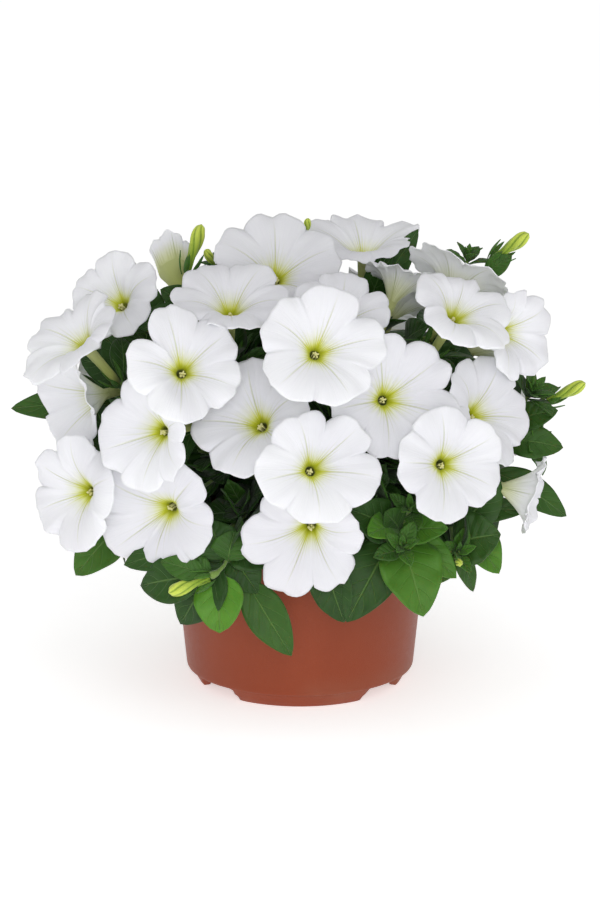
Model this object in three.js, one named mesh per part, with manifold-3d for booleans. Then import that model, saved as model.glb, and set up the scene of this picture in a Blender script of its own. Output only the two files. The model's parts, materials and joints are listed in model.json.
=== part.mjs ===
// A trailing petunia in full flower, grown in a round plastic pot. Millimetres, +Z up.
// The origin is the middle of the pot's foot ring, on the surface that it stands on.
// The front of the plant looks along -Y. An azimuth is measured from the front toward +X,
// and an elevation from the horizontal upward, both in degrees.

import * as THREE from "three";
import { mergeVertices } from "three/addons/utils/BufferGeometryUtils.js";
import Module from "manifold-3d";

const wasm = await Module();
wasm.setup();

// Pot and soil
const POT_HEIGHT = 90;
const RIM_RADIUS = 66;
const RIM_DEPTH = 7;
const WALL = 2;
const WALL_BOTTOM_RADIUS = 57;
const WALL_TOP_RADIUS = 64.5;
const FOOT_HEIGHT = 7;
const FOOT_RADIUS = 51;
const FOOT_THICKNESS = 3;
const FOOT_TOP_RADIUS = 53.3;
const FOOT_GAP_AZIMUTHS = [52, 128, 232, 308];
const FOOT_GAP_WIDTH = { ground: 30, top: 21 };
const FOOT_GAP_BLOCK = { inner: 42, depth: 16 };
const DRAIN_HOLES = { count: 6, radius: 4, ring: 36 };
const EDGE = 0.6;
const POT_SEGMENTS = 40;
const SOIL_LEVEL = 80;
const CROWN = { radius: 9, bottom: 70, top: 90 };

// Plant
const GAP = 0.3;
const TUBE_LENGTH = 26;
const TUBE_RADIUS = 1.8;
const THROAT_RADIUS = 3.8;
const THROAT_DEPTH = 4;
const LIMB_RISE = 13;
const LIMB_BOW = { reach: 0.5, rise: 0.69 };
const PETAL_THICKNESS = 0.9;
const NOTCH_DEPTH = 0.15;
const LOBES = 5;
const STEM_RADIUS = 2;
const STALK_RADIUS = 1.1;
const STALK_LENGTH = 24;
const STALK_BEND = 0.4;
const CALYX = { length: 4, radius: 2.7 };
const LEAF_THICKNESS = 1.2;
const LEAF_FOLD = 0.12;
const LEAF_DROOP = 0.1;
const SMALLEST_DETAIL = 0.3;

// Each stem, from the crown to its tip: azimuth, distance of the tip from the pot's axis, height.
const STEMS = [
  [-75, 84, 92], [-28, 80, 90], [8, 80, 88], [34, 84, 96], [62, 84, 94],
  [105, 84, 92], [145, 84, 92], [185, 84, 92], [225, 84, 92], [262, 84, 92],
  [-92, 88, 140], [-48, 66, 128], [-12, 66, 134], [20, 60, 150], [52, 68, 128], [84, 92, 112],
  [112, 60, 150], [160, 68, 136], [204, 68, 136], [248, 60, 150],
  [-70, 44, 176], [0, 30, 170], [62, 50, 176], [180, 34, 156], [128, 44, 160],
];

// Each open flower seen from the front: the hole of its throat, the way it faces (azimuth and
// elevation), the turn of its first lobe from the top, and its width.
const FRONT_FLOWERS = [
  { throat: [7, -98, 187], facing: [14, 30], turn: 14, across: 62 },
  { throat: [-55, -88, 176], facing: [10, 32], turn: -9, across: 58 },
  { throat: [-18, -86, 150], facing: [-24, 32], turn: -20, across: 60 },
  { throat: [5, -111, 135], facing: [14, 26], turn: -30, across: 59 },
  { throat: [39, -84, 162], facing: [17, 20], turn: -24, across: 62 },
  { throat: [66, -92, 133], facing: [20, 16], turn: -14, across: 58 },
  { throat: [5, -91, 103], facing: [-8, -15], turn: 0, across: 62 },
  { throat: [-64, -84, 147], facing: [-40, 4], turn: 20, across: 54 },
  { throat: [-101, -54, 110], facing: [-42, 8], turn: -5, across: 56 },
  { throat: [-61, -73, 107], facing: [-28, -6], turn: 24, across: 60 },
  { throat: [-86, -20, 194], facing: [-30, 34], turn: -10, across: 50 },
  { throat: [-102, -46, 179], facing: [-54, 48], turn: 10, across: 54 },
  { throat: [-96, -26, 151], facing: [-52, -4], turn: 0, across: 52 },
  { throat: [-33, -58, 197], facing: [2, 62], turn: 0, across: 50 },
  { throat: [-12, -16, 206], facing: [14, 48], turn: 0, across: 62 },
  { throat: [31, 10, 211], facing: [2, 76], turn: 20, across: 54 },
  { throat: [18, -58, 192], facing: [8, 46], turn: 30, across: 52 },
  { throat: [45, -17, 197], facing: [146, 52], turn: 12, across: 41 },
  { throat: [73, -23, 200], facing: [136, 52], turn: 10, across: 57 },
  { throat: [72, -64, 196], facing: [36, 50], turn: -30, across: 58 },
  { throat: [96, -39, 185], facing: [44, 10], turn: 0, across: 50 },
  { throat: [81, -62, 149], facing: [50, 25], turn: 30, across: 58 },
  { throat: [98, -56, 112], facing: [78, -12], turn: 0, across: 42 },
  { throat: [-62, 17, 205], facing: [192, 26], turn: 0, across: 24 },
];

// The back of the mound carries its flowers in three rows: height, distance from the axis,
// elevation of the way they face, and the azimuths.
const BACK_ROWS = [
  { height: 118, distance: 118, elevation: 6, azimuths: [127, 154, 181, 208, 236] },
  { height: 160, distance: 94, elevation: 26, azimuths: [112, 158, 202, 248] },
  { height: 176, distance: 62, elevation: 58, azimuths: [132, 180, 228] },
];
const BACK_FLOWER_ACROSS = 58;
const BACK_TURN_STEP = 31;

// Buds: foot, tip and greatest radius.
const BUDS = [
  { foot: [-54, 2, 207], tip: [-48, 2, 230], radius: 3.4 },
  { foot: [-42, 4, 206], tip: [-46, 0, 218], radius: 2.2 },
  { foot: [3, 10, 222], tip: [4, 8, 232], radius: 1.8 },
  { foot: [96, 7, 211], tip: [112, 4, 225], radius: 3.4 },
  { foot: [122, 2, 142], tip: [141, 0, 151], radius: 3.2 },
  { foot: [-43, -90, 78], tip: [-62, -93, 71], radius: 3.4 },
  { foot: [75, -72, 82], tip: [76, -80, 81], radius: 1.8 },
];

// The large leaves: where the stalk comes from, the tip and the width.
const LEAVES = [
  { from: [44, -82, 92], tip: [58, -99, 61], width: 28 },
  { from: [-34, -80, 86], tip: [-38, -96, 52], width: 22 },
  { from: [-16, -84, 78], tip: [-4, -91, 39], width: 19 },
  { from: [28, -82, 86], tip: [21, -89, 55], width: 20 },
  { from: [48, -84, 96], tip: [32, -96, 100], width: 12 },
  { from: [77, -54, 84], tip: [96, -58, 70], width: 13 },
  { from: [108, -16, 112], tip: [132, -12, 86], width: 15 },
  { from: [-104, -6, 148], tip: [-143, 0, 138], width: 13 },
  { from: [-100, 0, 152], tip: [-137, 6, 153], width: 10 },
  { from: [-88, -34, 88], tip: [-110, -34, 62], width: 21 },
];
const BACK_LEAVES = { azimuths: [108, 150, 210, 258], from: [82, 94], tip: [104, 64], width: 22 };

const COLOURS = {
  pot: { color: 0x85442d, roughness: 0.45, metalness: 0 },
  soil: { color: 0x3a2a20, roughness: 1, metalness: 0 },
  petal: { color: 0xf4f5f7, roughness: 0.6, metalness: 0 },
  bud: { color: 0xa9bd45, roughness: 0.6, metalness: 0 },
  stem: { color: 0x5f8a34, roughness: 0.7, metalness: 0 },
  leaf: { color: 0x3a6326, roughness: 0.6, metalness: 0 },
};

function radians(degrees) {
  return THREE.MathUtils.degToRad(degrees);
}

function direction(azimuth, elevation) {
  const flat = Math.cos(radians(elevation));
  const x = Math.sin(radians(azimuth)) * flat;
  const y = -Math.cos(radians(azimuth)) * flat;
  return new THREE.Vector3(x, y, Math.sin(radians(elevation)));
}

function around(azimuth, distance, height) {
  return direction(azimuth, 0).multiplyScalar(distance).setZ(height);
}

function point(values) {
  return new THREE.Vector3(...values);
}

// Turns a shape that points along +Z so that it points along axis, with its +Y side up.
function pointing(axis, turn = 0) {
  const up = Math.abs(axis.z) > 0.999 ? new THREE.Vector3(0, 1, 0) : new THREE.Vector3(0, 0, 1);
  const side = up.cross(axis).normalize();
  const top = axis.clone().cross(side);
  const basis = new THREE.Matrix4().makeBasis(side, top, axis);
  const spin = new THREE.Matrix4().makeRotationZ(radians(-turn));
  return new THREE.Quaternion().setFromRotationMatrix(basis.multiply(spin));
}

// Solids for joining and cutting

function toSolid(geometry) {
  const bare = geometry.clone();
  bare.deleteAttribute("normal");
  bare.deleteAttribute("uv");
  const merged = mergeVertices(bare, 1e-4);
  const vertProperties = new Float32Array(merged.attributes.position.array);
  const triVerts = new Uint32Array(merged.index.array);
  return new wasm.Manifold(new wasm.Mesh({ numProp: 3, vertProperties, triVerts }));
}

function toGeometry(solid) {
  const mesh = solid.getMesh();
  const geometry = new THREE.BufferGeometry();
  geometry.setAttribute("position", new THREE.BufferAttribute(mesh.vertProperties, 3));
  geometry.setIndex(new THREE.BufferAttribute(mesh.triVerts, 1));
  return geometry;
}

// A round body: the profile is a list of [radius, height] that starts and ends on the axis.
function turned(profile, segments) {
  const points = profile.map(([radius, height]) => new THREE.Vector2(radius, height));
  const geometry = new THREE.LatheGeometry(points, segments);
  geometry.rotateX(Math.PI / 2);
  return geometry;
}

function tube(points, radius, sides, steps) {
  const section = new THREE.Shape();
  for (let i = 0; i < sides; i++) {
    const angle = (2 * Math.PI * i) / sides;
    const [x, y] = [radius * Math.cos(angle), radius * Math.sin(angle)];
    if (i === 0) section.moveTo(x, y);
    else section.lineTo(x, y);
  }
  section.closePath();
  const extrudePath = new THREE.CatmullRomCurve3(points);
  return new THREE.ExtrudeGeometry(section, { steps, bevelEnabled: false, extrudePath });
}

// Pot and soil

function potBody() {
  const floorTop = FOOT_HEIGHT + WALL;
  const footInner = FOOT_RADIUS - FOOT_THICKNESS;
  const profile = [
    [0, FOOT_HEIGHT],
    [footInner + EDGE, FOOT_HEIGHT],
    [footInner, 0],
    [FOOT_RADIUS, 0],
    [FOOT_TOP_RADIUS, FOOT_HEIGHT],
    [WALL_BOTTOM_RADIUS - EDGE, FOOT_HEIGHT],
    [WALL_BOTTOM_RADIUS, FOOT_HEIGHT + 4 * EDGE],
    [WALL_TOP_RADIUS, POT_HEIGHT - RIM_DEPTH],
    [RIM_RADIUS, POT_HEIGHT - RIM_DEPTH + EDGE],
    [RIM_RADIUS, POT_HEIGHT - EDGE],
    [RIM_RADIUS - EDGE, POT_HEIGHT],
    [WALL_TOP_RADIUS, POT_HEIGHT],
    [WALL_TOP_RADIUS - WALL, POT_HEIGHT - RIM_DEPTH],
    [WALL_BOTTOM_RADIUS - WALL, floorTop + 2 * EDGE],
    [WALL_BOTTOM_RADIUS - WALL - 2 * EDGE, floorTop],
    [0, floorTop],
  ];
  return turned(profile, POT_SEGMENTS);
}

// A gap between two feet: a block that is wider at the ground.
function footGap(azimuth) {
  const ground = FOOT_GAP_WIDTH.ground / 2;
  const top = FOOT_GAP_WIDTH.top / 2;
  const below = -1;
  const above = FOOT_HEIGHT - 0.1;
  const outline = new THREE.Shape();
  outline.moveTo(-ground, below);
  outline.lineTo(ground, below);
  outline.lineTo(top, above);
  outline.lineTo(-top, above);
  outline.closePath();
  const depth = FOOT_GAP_BLOCK.depth;
  const block = new THREE.ExtrudeGeometry(outline, { depth, bevelEnabled: false });
  block.rotateX(Math.PI / 2);
  block.translate(0, -FOOT_GAP_BLOCK.inner, 0);
  block.rotateZ(radians(azimuth));
  return toSolid(block);
}

function drainHole(azimuth) {
  const { radius, ring } = DRAIN_HOLES;
  const hole = new THREE.CylinderGeometry(radius, radius, 3 * WALL, 12);
  hole.rotateX(Math.PI / 2);
  const place = around(azimuth, ring, FOOT_HEIGHT + WALL / 2);
  hole.translate(place.x, place.y, place.z);
  return toSolid(hole);
}

function pot() {
  let body = toSolid(potBody());
  for (const azimuth of FOOT_GAP_AZIMUTHS) body = body.subtract(footGap(azimuth));
  for (let i = 0; i < DRAIN_HOLES.count; i++) {
    body = body.subtract(drainHole((360 / DRAIN_HOLES.count) * i));
  }
  return toGeometry(body);
}

function soil() {
  const floor = FOOT_HEIGHT + WALL + GAP;
  const taper = (WALL_TOP_RADIUS - WALL_BOTTOM_RADIUS) / (POT_HEIGHT - RIM_DEPTH - FOOT_HEIGHT);
  const radiusAt = (height) => WALL_BOTTOM_RADIUS - WALL - 2 * GAP + taper * (height - FOOT_HEIGHT);
  const profile = [
    [0, floor],
    [radiusAt(floor) - 2, floor],
    [radiusAt(floor + 3), floor + 3],
    [radiusAt(SOIL_LEVEL), SOIL_LEVEL - 2],
    [radiusAt(SOIL_LEVEL) - 8, SOIL_LEVEL],
    [CROWN.radius + GAP, SOIL_LEVEL + 1],
    [CROWN.radius + GAP, CROWN.bottom - GAP],
    [0, CROWN.bottom - GAP],
  ];
  return turned(profile, POT_SEGMENTS / 2);
}

// Flowers

// The corolla is one piece: a narrow tube that flares into a limb of five joined lobes.
// It points along +Z, with the hole of its throat at the origin and its first lobe toward +Y.
function corolla(across) {
  const radius = across / 2;
  const thick = PETAL_THICKNESS;
  const profile = [
    [0, -TUBE_LENGTH],
    [TUBE_RADIUS, -TUBE_LENGTH],
    [THROAT_RADIUS, -THROAT_DEPTH],
    [LIMB_BOW.reach * radius, LIMB_BOW.rise * LIMB_RISE],
    [radius, LIMB_RISE],
    [LIMB_BOW.reach * radius - thick / 2, LIMB_BOW.rise * LIMB_RISE + thick],
    [THROAT_RADIUS - thick, -THROAT_DEPTH + thick],
    [0, -THROAT_DEPTH],
  ];
  const geometry = turned(profile, 3 * LOBES);
  const place = geometry.attributes.position;
  for (let i = 0; i < place.count; i++) {
    const x = place.getX(i);
    const y = place.getY(i);
    const share = Math.min(Math.hypot(x, y) / radius, 1);
    const lobe = 0.5 - 0.5 * Math.cos(LOBES * Math.atan2(x, y));
    const scale = 1 - NOTCH_DEPTH * lobe * share ** 3;
    place.setX(i, x * scale);
    place.setY(i, y * scale);
  }
  return geometry;
}

function backFlowers() {
  const flowers = [];
  for (const row of BACK_ROWS) {
    for (const azimuth of row.azimuths) {
      flowers.push({
        throat: around(azimuth, row.distance, row.height).toArray(),
        facing: [azimuth, row.elevation],
        turn: (BACK_TURN_STEP * flowers.length) % 72,
        across: BACK_FLOWER_ACROSS,
      });
    }
  }
  return flowers;
}

// A bud is a slim club, closed at its tip. It points along +Z from its foot at the origin.
function budGeometry(length, radius) {
  const profile = [
    [0, 0],
    [0.5 * radius, 0],
    [0.62 * radius, 0.35 * length],
    [radius, 0.72 * length],
    [0.7 * radius, 0.93 * length],
    [0, length],
  ];
  return turned(profile, 8);
}

// Leaves

// An oval blade, folded along its midrib, from its foot at the origin to its tip on +Z.
function leafGeometry(length, width) {
  const geometry = new THREE.SphereGeometry(1, 6, 7);
  const place = geometry.attributes.position;
  for (let i = 0; i < place.count; i++) {
    const along = (1 - place.getY(i)) / 2;
    const spread = Math.sin(Math.PI * along ** 0.85) ** 1.2 + 0.06 * (1 - along) * along;
    const ring = Math.hypot(place.getX(i), place.getZ(i)) || 1;
    const across = (place.getX(i) / ring) * spread;
    const depth = (place.getZ(i) / ring) * Math.sqrt(spread) * (LEAF_THICKNESS / 2);
    const fold = -LEAF_FOLD * width * Math.abs(across);
    const droop = LEAF_DROOP * length * Math.sin(Math.PI * along);
    place.setXYZ(i, (across * width) / 2, depth + fold - droop, along * length);
  }
  return geometry;
}

// Stems

function stemPoints([azimuth, reach, height]) {
  const rise = height - CROWN.top;
  return [
    around(azimuth, 3, CROWN.top - 6),
    around(azimuth, 0.3 * reach, CROWN.top + 3 + 0.2 * rise),
    around(azimuth, 0.68 * reach, CROWN.top + 8 + 0.6 * rise),
    around(azimuth, reach, height),
  ];
}

// The place on the stems that is nearest to a point, away from the crown.
function nearestOnStems(target) {
  let best = null;
  for (const stem of STEMS) {
    const curve = new THREE.CatmullRomCurve3(stemPoints(stem));
    for (let t = 0.4; t <= 0.991; t += 0.02) {
      const place = curve.getPoint(t);
      const distance = place.distanceTo(target);
      if (!best || distance < best.distance) best = { place, distance, along: curve.getTangent(t) };
    }
  }
  return best;
}

// A stalk leaves the nearest stem and ends in a calyx, whose flat top meets the tube's foot.
function stalk(foot, axis) {
  const base = foot.clone().addScaledVector(axis, -CALYX.length);
  const start = nearestOnStems(base.clone().addScaledVector(axis, -STALK_LENGTH)).place;
  const reach = start.distanceTo(base);
  const bend = base.clone().addScaledVector(axis, -STALK_BEND * reach);
  const middle = start.clone().lerp(bend, 0.5).lerp(bend.clone().lerp(base, 0.5), 0.5);
  return tube([start, middle, base.clone().addScaledVector(axis, 1)], STALK_RADIUS, 5, 4);
}

function calyx(foot, axis) {
  const profile = [
    [0, -CALYX.length - 1],
    [STALK_RADIUS, -CALYX.length - 1],
    [CALYX.radius, -0.45 * CALYX.length],
    [0.85 * CALYX.radius, 0],
    [0, 0],
  ];
  const geometry = turned(profile, 5);
  geometry.applyQuaternion(pointing(axis));
  geometry.translate(foot.x, foot.y, foot.z);
  return geometry;
}

function stems(heads) {
  const crown = [[0, CROWN.bottom], [CROWN.radius - 2, CROWN.bottom], [CROWN.radius, 78]];
  crown.push([CROWN.radius - 1, 86], [0, CROWN.top]);
  const pieces = [toSolid(turned(crown, 12))];
  for (const stem of STEMS) pieces.push(toSolid(tube(stemPoints(stem), STEM_RADIUS, 6, 6)));
  for (const { foot, axis } of heads) {
    const joint = foot.clone().addScaledVector(axis, -GAP - 0.1);
    pieces.push(toSolid(stalk(joint, axis)));
    pieces.push(toSolid(calyx(joint, axis)));
  }
  const joined = toSolid(toGeometry(wasm.Manifold.union(pieces)));
  return toGeometry(joined.simplify(SMALLEST_DETAIL));
}

// The plant and its pot

function named(name, geometry, colour) {
  const mesh = new THREE.Mesh(geometry, new THREE.MeshStandardMaterial(colour));
  mesh.name = name;
  return mesh;
}

function flowerMesh(flower, number) {
  const axis = direction(...flower.facing);
  const name = `flower_${String(number).padStart(2, "0")}`;
  const mesh = named(name, corolla(flower.across), COLOURS.petal);
  mesh.position.set(...flower.throat);
  mesh.quaternion.copy(pointing(axis, flower.turn));
  return mesh;
}

function budMesh(bud, number) {
  const [foot, tip] = [point(bud.foot), point(bud.tip)];
  const mesh = named(`bud_${number}`, budGeometry(foot.distanceTo(tip), bud.radius), COLOURS.bud);
  mesh.position.copy(foot);
  mesh.quaternion.copy(pointing(tip.clone().sub(foot).normalize()));
  return mesh;
}

function leafMesh(leaf, number) {
  const tip = point(leaf.tip);
  const stem = nearestOnStems(point(leaf.from));
  const outward = tip.clone().sub(stem.place).normalize();
  const foot = stem.place.clone().addScaledVector(outward, STEM_RADIUS + 4 * GAP);
  const geometry = leafGeometry(foot.distanceTo(tip), leaf.width);
  const mesh = named(`leaf_${String(number).padStart(2, "0")}`, geometry, COLOURS.leaf);
  mesh.position.copy(foot);
  mesh.quaternion.copy(pointing(outward, 180));
  return mesh;
}

const plant = new THREE.Group();
const flowers = [...FRONT_FLOWERS, ...backFlowers()];
const leaves = [...LEAVES];
for (const azimuth of BACK_LEAVES.azimuths) {
  const from = around(azimuth, ...BACK_LEAVES.from).toArray();
  const tip = around(azimuth, ...BACK_LEAVES.tip).toArray();
  leaves.push({ from, tip, width: BACK_LEAVES.width });
}
const heads = [];
for (const flower of flowers) {
  const axis = direction(...flower.facing);
  heads.push({ foot: point(flower.throat).addScaledVector(axis, -TUBE_LENGTH), axis });
}
for (const bud of BUDS) {
  const axis = point(bud.tip).sub(point(bud.foot)).normalize();
  heads.push({ foot: point(bud.foot), axis });
}
plant.add(named("stems", stems(heads), COLOURS.stem));
flowers.forEach((flower, i) => plant.add(flowerMesh(flower, i + 1)));
BUDS.forEach((bud, i) => plant.add(budMesh(bud, i + 1)));
leaves.forEach((leaf, i) => plant.add(leafMesh(leaf, i + 1)));

const pottedPlant = new THREE.Group();
pottedPlant.add(named("pot", pot(), COLOURS.pot));
pottedPlant.add(named("potting_soil", soil(), COLOURS.soil));
pottedPlant.add(plant);

export default pottedPlant;
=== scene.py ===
# %% [markdown]
# # A trailing petunia in its pot
#
# The plant is a low dome of white funnel-shaped flowers over hairy green leaves, in a round
# terracotta-coloured plastic pot on four short feet. The solid model gives the place, direction
# and size of every flower, bud, stem and large leaf. This script gives each of them its real
# surface: thin ruffled petals with veins, pleated buds, folded leaves, a crumbly soil and a
# smooth moulded pot. It works in metres, with +Z up and the front of the plant toward -Y.

# %% Load the solid model
import json
import math
import random

import bmesh
import bpy
import numpy as np
from mathutils import Matrix, Vector, noise
from mathutils.bvhtree import BVHTree

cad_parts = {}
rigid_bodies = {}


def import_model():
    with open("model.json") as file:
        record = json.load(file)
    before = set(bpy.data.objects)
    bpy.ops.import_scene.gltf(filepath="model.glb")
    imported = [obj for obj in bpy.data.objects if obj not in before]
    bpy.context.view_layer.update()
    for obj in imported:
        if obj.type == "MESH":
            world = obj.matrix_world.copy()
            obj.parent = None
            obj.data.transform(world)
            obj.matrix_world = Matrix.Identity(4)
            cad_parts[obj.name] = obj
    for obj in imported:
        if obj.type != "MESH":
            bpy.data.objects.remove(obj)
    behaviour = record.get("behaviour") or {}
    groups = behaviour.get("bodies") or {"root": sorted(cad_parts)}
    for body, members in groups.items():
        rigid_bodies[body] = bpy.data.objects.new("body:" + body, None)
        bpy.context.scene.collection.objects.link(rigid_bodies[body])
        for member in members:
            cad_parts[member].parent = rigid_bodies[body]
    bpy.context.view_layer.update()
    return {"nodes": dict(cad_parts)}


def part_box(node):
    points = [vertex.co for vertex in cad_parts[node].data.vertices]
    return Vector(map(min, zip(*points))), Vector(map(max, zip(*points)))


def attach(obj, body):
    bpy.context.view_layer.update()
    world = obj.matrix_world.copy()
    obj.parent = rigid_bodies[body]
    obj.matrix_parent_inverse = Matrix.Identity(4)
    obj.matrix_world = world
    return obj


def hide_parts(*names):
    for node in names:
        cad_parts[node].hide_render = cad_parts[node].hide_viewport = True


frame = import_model()
MM = 0.001
UP = Vector((0, 0, 1))

# %% [markdown]
# ## The camera
#
# The plant was seen from a little above, through a long lens. A long lens far away keeps the
# pot's sides nearly parallel. The lens is given by the height of the picture, so the film is
# set to fit vertically.

# %% Camera
CAMERA_PLACE = Vector((0, -1.5, 0.495))
CAMERA_TILT = 14.15
FILM_HEIGHT = 36.0
PICTURE_HEIGHT = 900
FOCAL_PIXELS = 3117
lens = bpy.data.cameras.new("camera")
lens.sensor_fit = "VERTICAL"
lens.sensor_height = FILM_HEIGHT
lens.lens = FOCAL_PIXELS / PICTURE_HEIGHT * FILM_HEIGHT
camera = bpy.data.objects.new("camera", lens)
camera.location = CAMERA_PLACE
camera.rotation_euler = (math.radians(90 - CAMERA_TILT), 0, 0)
bpy.context.scene.collection.objects.link(camera)
bpy.context.scene.camera = camera
print("lens", round(lens.lens, 1), "mm")

# %% [markdown]
# ## Shader maths as Python expressions
#
# A material is a graph of nodes. Written as a list of nodes and links it is hard to read, so
# `Wire` wraps the output of a node, and adding or multiplying two wires adds the Math node that
# does it. Every other node comes from `Finish.node`.

# %% Materials as expressions
class Wire:
    """A number, colour or vector on its way through a material."""

    def __init__(self, finish, socket):
        self.finish = finish
        self.socket = socket

    def math(self, operation, first, second):
        return self.finish.math(operation, first, second)

    def __add__(self, other):
        return self.math("ADD", self, other)

    def __radd__(self, other):
        return self.math("ADD", other, self)

    def __sub__(self, other):
        return self.math("SUBTRACT", self, other)

    def __rsub__(self, other):
        return self.math("SUBTRACT", other, self)

    def __mul__(self, other):
        return self.math("MULTIPLY", self, other)

    def __rmul__(self, other):
        return self.math("MULTIPLY", other, self)

    def __abs__(self):
        return self.math("ABSOLUTE", self, 0)


class Finish:
    """One material, made around a Principled shader."""

    def __init__(self, name, **numbers):
        self.material = bpy.data.materials.new(name)
        self.material.use_nodes = True
        self.tree = self.material.node_tree
        self.shader = self.tree.nodes["Principled BSDF"]
        for socket, number in numbers.items():
            self.shader.inputs[socket.replace("_", " ")].default_value = number

    def node(self, kind, settings, sockets, output=0):
        made = self.tree.nodes.new(kind)
        for name, setting in settings.items():
            setattr(made, name, setting)
        for key, value in sockets.items():
            if isinstance(value, Wire):
                self.tree.links.new(value.socket, made.inputs[key])
            else:
                made.inputs[key].default_value = value
        return Wire(self, made.outputs[output])

    def math(self, operation, first, second=0.0):
        return self.node("ShaderNodeMath", {"operation": operation}, {0: first, 1: second})

    def attribute(self, name):
        return self.node("ShaderNodeAttribute", {"attribute_name": name}, {}, "Fac")

    def place(self):
        return self.node("ShaderNodeTexCoord", {}, {}, "Object")

    def noise(self, vector, scale, detail=3.0):
        sockets = {"Vector": vector, "Scale": scale, "Detail": detail}
        return self.node("ShaderNodeTexNoise", {}, sockets, "Fac")

    def vector(self, x, y, z):
        return self.node("ShaderNodeCombineXYZ", {}, {"X": x, "Y": y, "Z": z})

    def rise(self, value, low, high):
        """0 below low, 1 above high, and a smooth step between them."""
        sockets = {"Value": value, "From Min": low, "From Max": high}
        return self.node("ShaderNodeMapRange", {"interpolation_type": "SMOOTHSTEP"}, sockets)

    def mix(self, share, first, second):
        sockets = {"Factor": share, 6: first, 7: second}
        return self.node("ShaderNodeMix", {"data_type": "RGBA"}, sockets, 2)

    def bump(self, height, depth):
        sockets = {"Height": height, "Strength": 1.0, "Distance": depth}
        return self.node("ShaderNodeBump", {}, sockets)

    def feed(self, **wires):
        for socket, wire in wires.items():
            self.tree.links.new(wire.socket, self.shader.inputs[socket.replace("_", " ")])
        return self.material


def colour(red, green, blue):
    """A colour given as it looks on a screen, 0 to 255, as the linear light that a shader takes."""
    linear = [(part / 255) ** 2.2 for part in (red, green, blue)]
    return (*linear, 1.0)


# %% [markdown]
# ## The petals' finish
#
# A petal is white, with a yellow-green glow round the throat that breaks up into rays, one strong
# vein down the middle of each lobe and finer ones beside it. The veins follow the flower, so the
# mesh carries two numbers at every point: `reach`, from -1 at the foot of the tube through 0 at
# the throat to 1 at the rim, and `beside`, from 0 on a lobe's middle vein to 1 where two lobes
# meet. A vein is then a narrow band of `beside`, made as wide in millimetres at the rim as near
# the throat.

# %% Petal finish
LIMB_SPAN_MM = 27.0
THROAT_MM = 2.4
HALF_LOBE = math.pi / 5
WHITE = colour(247, 248, 252)
FIBRE = colour(232, 234, 240)
HAZE = colour(232, 238, 150)
GLOW = colour(212, 218, 38)
DEEP_GLOW = colour(176, 184, 20)
VEIN = colour(204, 210, 142)
# Inside the tube: its own olive green, darkened as painted shade for the depth of the tube.
TUBE_OLIVE_AND_SHADE = colour(96, 100, 24)
BACK_HAZE = colour(204, 212, 120)
BACK_VEIN = colour(160, 170, 96)
TUBE = colour(184, 198, 96)
# Each vein: its place in `beside`, its width in millimetres, the reach from which and at which
# it fades out, and its strength.
VEIN_LINES = (
    (0.0, 0.55, 0.3, 1.0, 1.0),
    (0.23, 0.36, 0.1, 0.7, 0.6),
    (0.47, 0.34, 0.05, 0.55, 0.5),
    (0.74, 0.3, 0.03, 0.42, 0.35),
)


def vein_masks(finish, reach, beside):
    """How much of each point is vein: the middle one, and three finer ones on each side."""
    radius = reach * LIMB_SPAN_MM + THROAT_MM
    wander = (finish.noise(finish.place(), 70.0, 1.0) - 0.5) * 0.12
    veins = None
    for line, width, fade_from, fade_to, share in VEIN_LINES:
        away = abs(beside + wander * min(line * 5, 1) - line) * radius * HALF_LOBE
        band = (1 - finish.rise(away, 0.0, width)) * (1 - finish.rise(reach, fade_from, fade_to)) * share
        veins = finish.math("MAXIMUM", veins, band) if veins else band
    return veins


def petal_finish(name, outside):
    finish = Finish(
        name, Roughness=0.62, Specular_IOR_Level=0.25, Subsurface_Weight=0.4,
        Subsurface_Scale=0.004, Sheen_Weight=0.1,
    )
    finish.shader.inputs["Subsurface Radius"].default_value = (0.9, 1.0, 0.8)
    reach = finish.attribute("reach")
    beside = finish.attribute("beside")
    flower = finish.attribute("flower")
    rays = finish.noise(finish.vector(beside * 6.0, reach * 0.8, flower), 1.0)
    fine = finish.noise(finish.vector(beside * 34.0, reach * 2.5, flower), 1.0)
    veins = vein_masks(finish, reach, beside)
    edge = (rays - 0.5) * 0.2 - veins * 0.1
    skin = finish.mix(finish.rise(fine, 0.4, 0.7) * 0.22, WHITE, FIBRE)
    if outside:
        skin = finish.mix((1 - finish.rise(reach + edge * 0.6, -0.05, 0.6)) * 0.8, skin, BACK_HAZE)
        skin = finish.mix(1 - finish.rise(reach, -0.8, 0.1), skin, TUBE)
        skin = finish.mix(veins * 0.6, skin, BACK_VEIN)
    else:
        skin = finish.mix((1 - finish.rise(reach + edge, 0.0, 0.36)) * 0.6, skin, HAZE)
        skin = finish.mix(veins * (1 - reach * 0.5) * 0.7, skin, VEIN)
        skin = finish.mix((1 - finish.rise(reach + edge, 0.0, 0.19)) * 0.95, skin, GLOW)
        skin = finish.mix(1 - finish.rise(reach + edge * 0.3, -0.02, 0.09), skin, DEEP_GLOW)
        # The inside of the tube: olive green, darkened as painted shade for its depth.
        skin = finish.mix(1 - finish.rise(reach, -0.14, 0.02), skin, TUBE_OLIVE_AND_SHADE)
    relief = finish.bump(fine * 0.3 - veins * 0.7, 0.0004)
    return finish.feed(Base_Color=skin, Normal=relief)


PETAL_FACE = petal_finish("petal_face", outside=False)
PETAL_BACK = petal_finish("petal_back", outside=True)
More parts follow.
